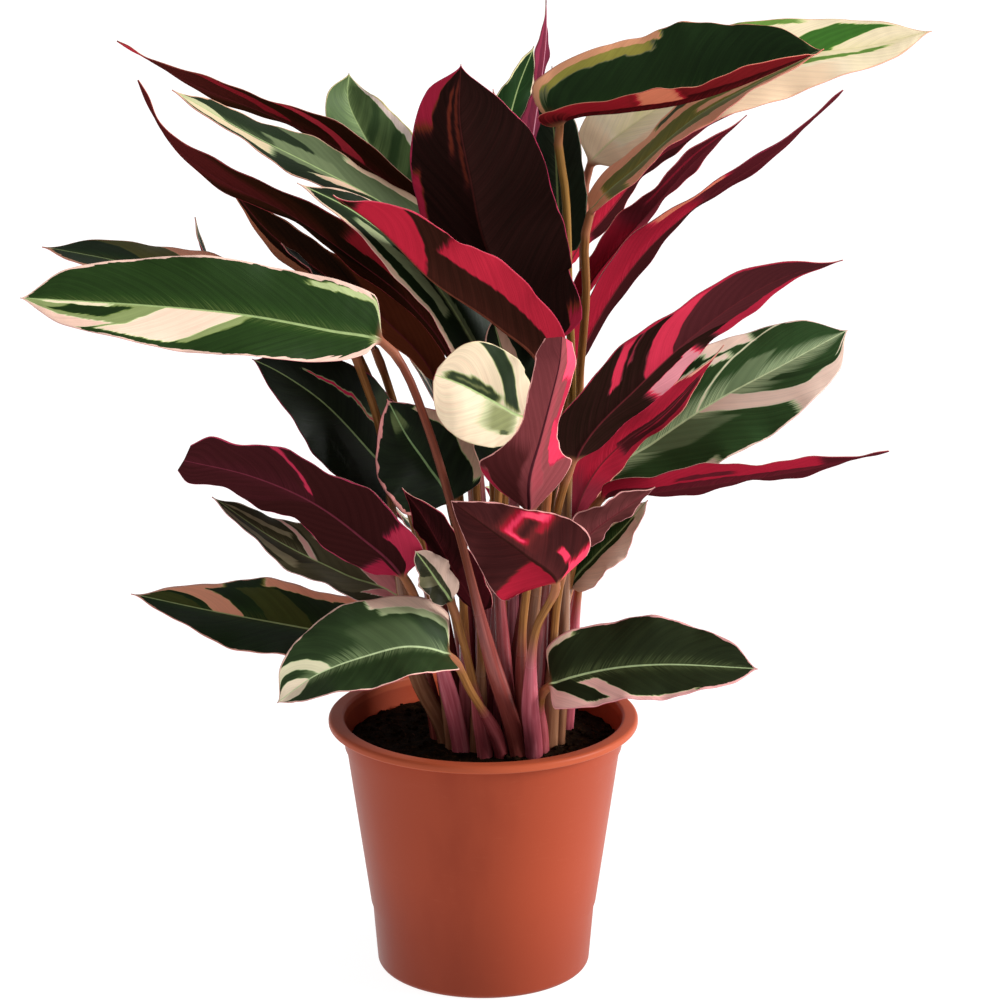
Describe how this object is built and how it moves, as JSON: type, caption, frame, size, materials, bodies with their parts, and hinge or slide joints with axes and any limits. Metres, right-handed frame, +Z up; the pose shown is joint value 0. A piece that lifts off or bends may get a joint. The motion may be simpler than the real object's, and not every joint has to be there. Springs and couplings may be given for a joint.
{
  "type": "potted stromanthe",
  "caption": "Potted stromanthe: a clump of long variegated leaves on thin stalks, in soil in a tapered terracotta-coloured plastic nursery pot.",
  "frame": {"origin": "centre of the pot's flat underside", "axes": "+Z up along the pot's axis, +Y away from the viewer of the picture, +X to the viewer's right"},
  "size_m": [0.4809, 0.3211, 0.5374],
  "materials": {
    "terracotta_plastic": "moulded, satin",
    "potting_soil": "dark crumbly peat and bark",
    "leaf_green": "waxy leaf, dark green top face",
    "leaf_maroon": "waxy leaf, dark maroon underside",
    "leaf_crimson": "waxy leaf, crimson underside",
    "leaf_cream": "waxy leaf, cream top face"
  },
  "bodies": {
    "root": {"pot": "terracotta_plastic", "soil": "potting_soil", "leaf_01_long_front_left": "leaf_green", "leaf_02_behind_long_left": "leaf_green", "leaf_03_small_left_tip": "leaf_maroon", "leaf_04_upper_left_underside": "leaf_maroon", "leaf_05_upper_left_top": "leaf_green", "leaf_06_tall_centre": "leaf_maroon", "leaf_07_folded_over_centre": "leaf_crimson", "leaf_08_under_folded": "leaf_green", "leaf_09_long_left_underside": "leaf_maroon", "leaf_10_narrow_left": "leaf_maroon", "leaf_11_dark_left_tip": "leaf_green", "leaf_12_dark_left_drooping": "leaf_green", "leaf_13_crimson_left": "leaf_crimson", "leaf_14_dark_front_left": "leaf_green", "leaf_15_maroon_lower_left": "leaf_maroon", "leaf_16_rolled_lower_left": "leaf_green", "leaf_17_low_left": "leaf_green", "leaf_18_low_front_left": "leaf_green", "leaf_19_low_right": "leaf_green", "leaf_20_curled_front": "leaf_crimson", "leaf_21_pointing_up_front": "leaf_crimson", "leaf_22_maroon_front_low": "leaf_maroon", "leaf_23_large_right_underside": "leaf_maroon", "leaf_24_narrow_right": "leaf_crimson", "leaf_25_broad_right_top": "leaf_green", "leaf_26_level_right": "leaf_crimson", "leaf_27_short_right_underside": "leaf_maroon", "leaf_28_short_right_top": "leaf_green", "leaf_29_rear_left_top": "leaf_green", "leaf_30_top_spire": "leaf_crimson", "leaf_31_top_tip": "leaf_green", "leaf_32_top_right": "leaf_green", "leaf_33_cream_top_right": "leaf_cream", "leaf_34_striped_right": "leaf_green", "leaf_35_rear_right_crimson": "leaf_crimson", "leaf_36_mid_right_crimson": "leaf_crimson", "leaf_37_long_right_crimson": "leaf_crimson", "leaf_38_cream_facing_front": "leaf_cream", "leaf_39_behind_cream": "leaf_green", "leaf_40_rear_middle": "leaf_green", "leaf_41_rear_left": "leaf_green", "leaf_42_rear_right": "leaf_green", "leaf_43_rear_high": "leaf_green", "leaf_44_rear_low_left": "leaf_green", "leaf_45_rear_low_right": "leaf_green", "leaf_46_rear_low": "leaf_green", "leaf_47_rear_arching": "leaf_green", "leaf_48_rear_tip": "leaf_green", "leaf_49_small_front_left": "leaf_green"}
  },
  "joints": []
}
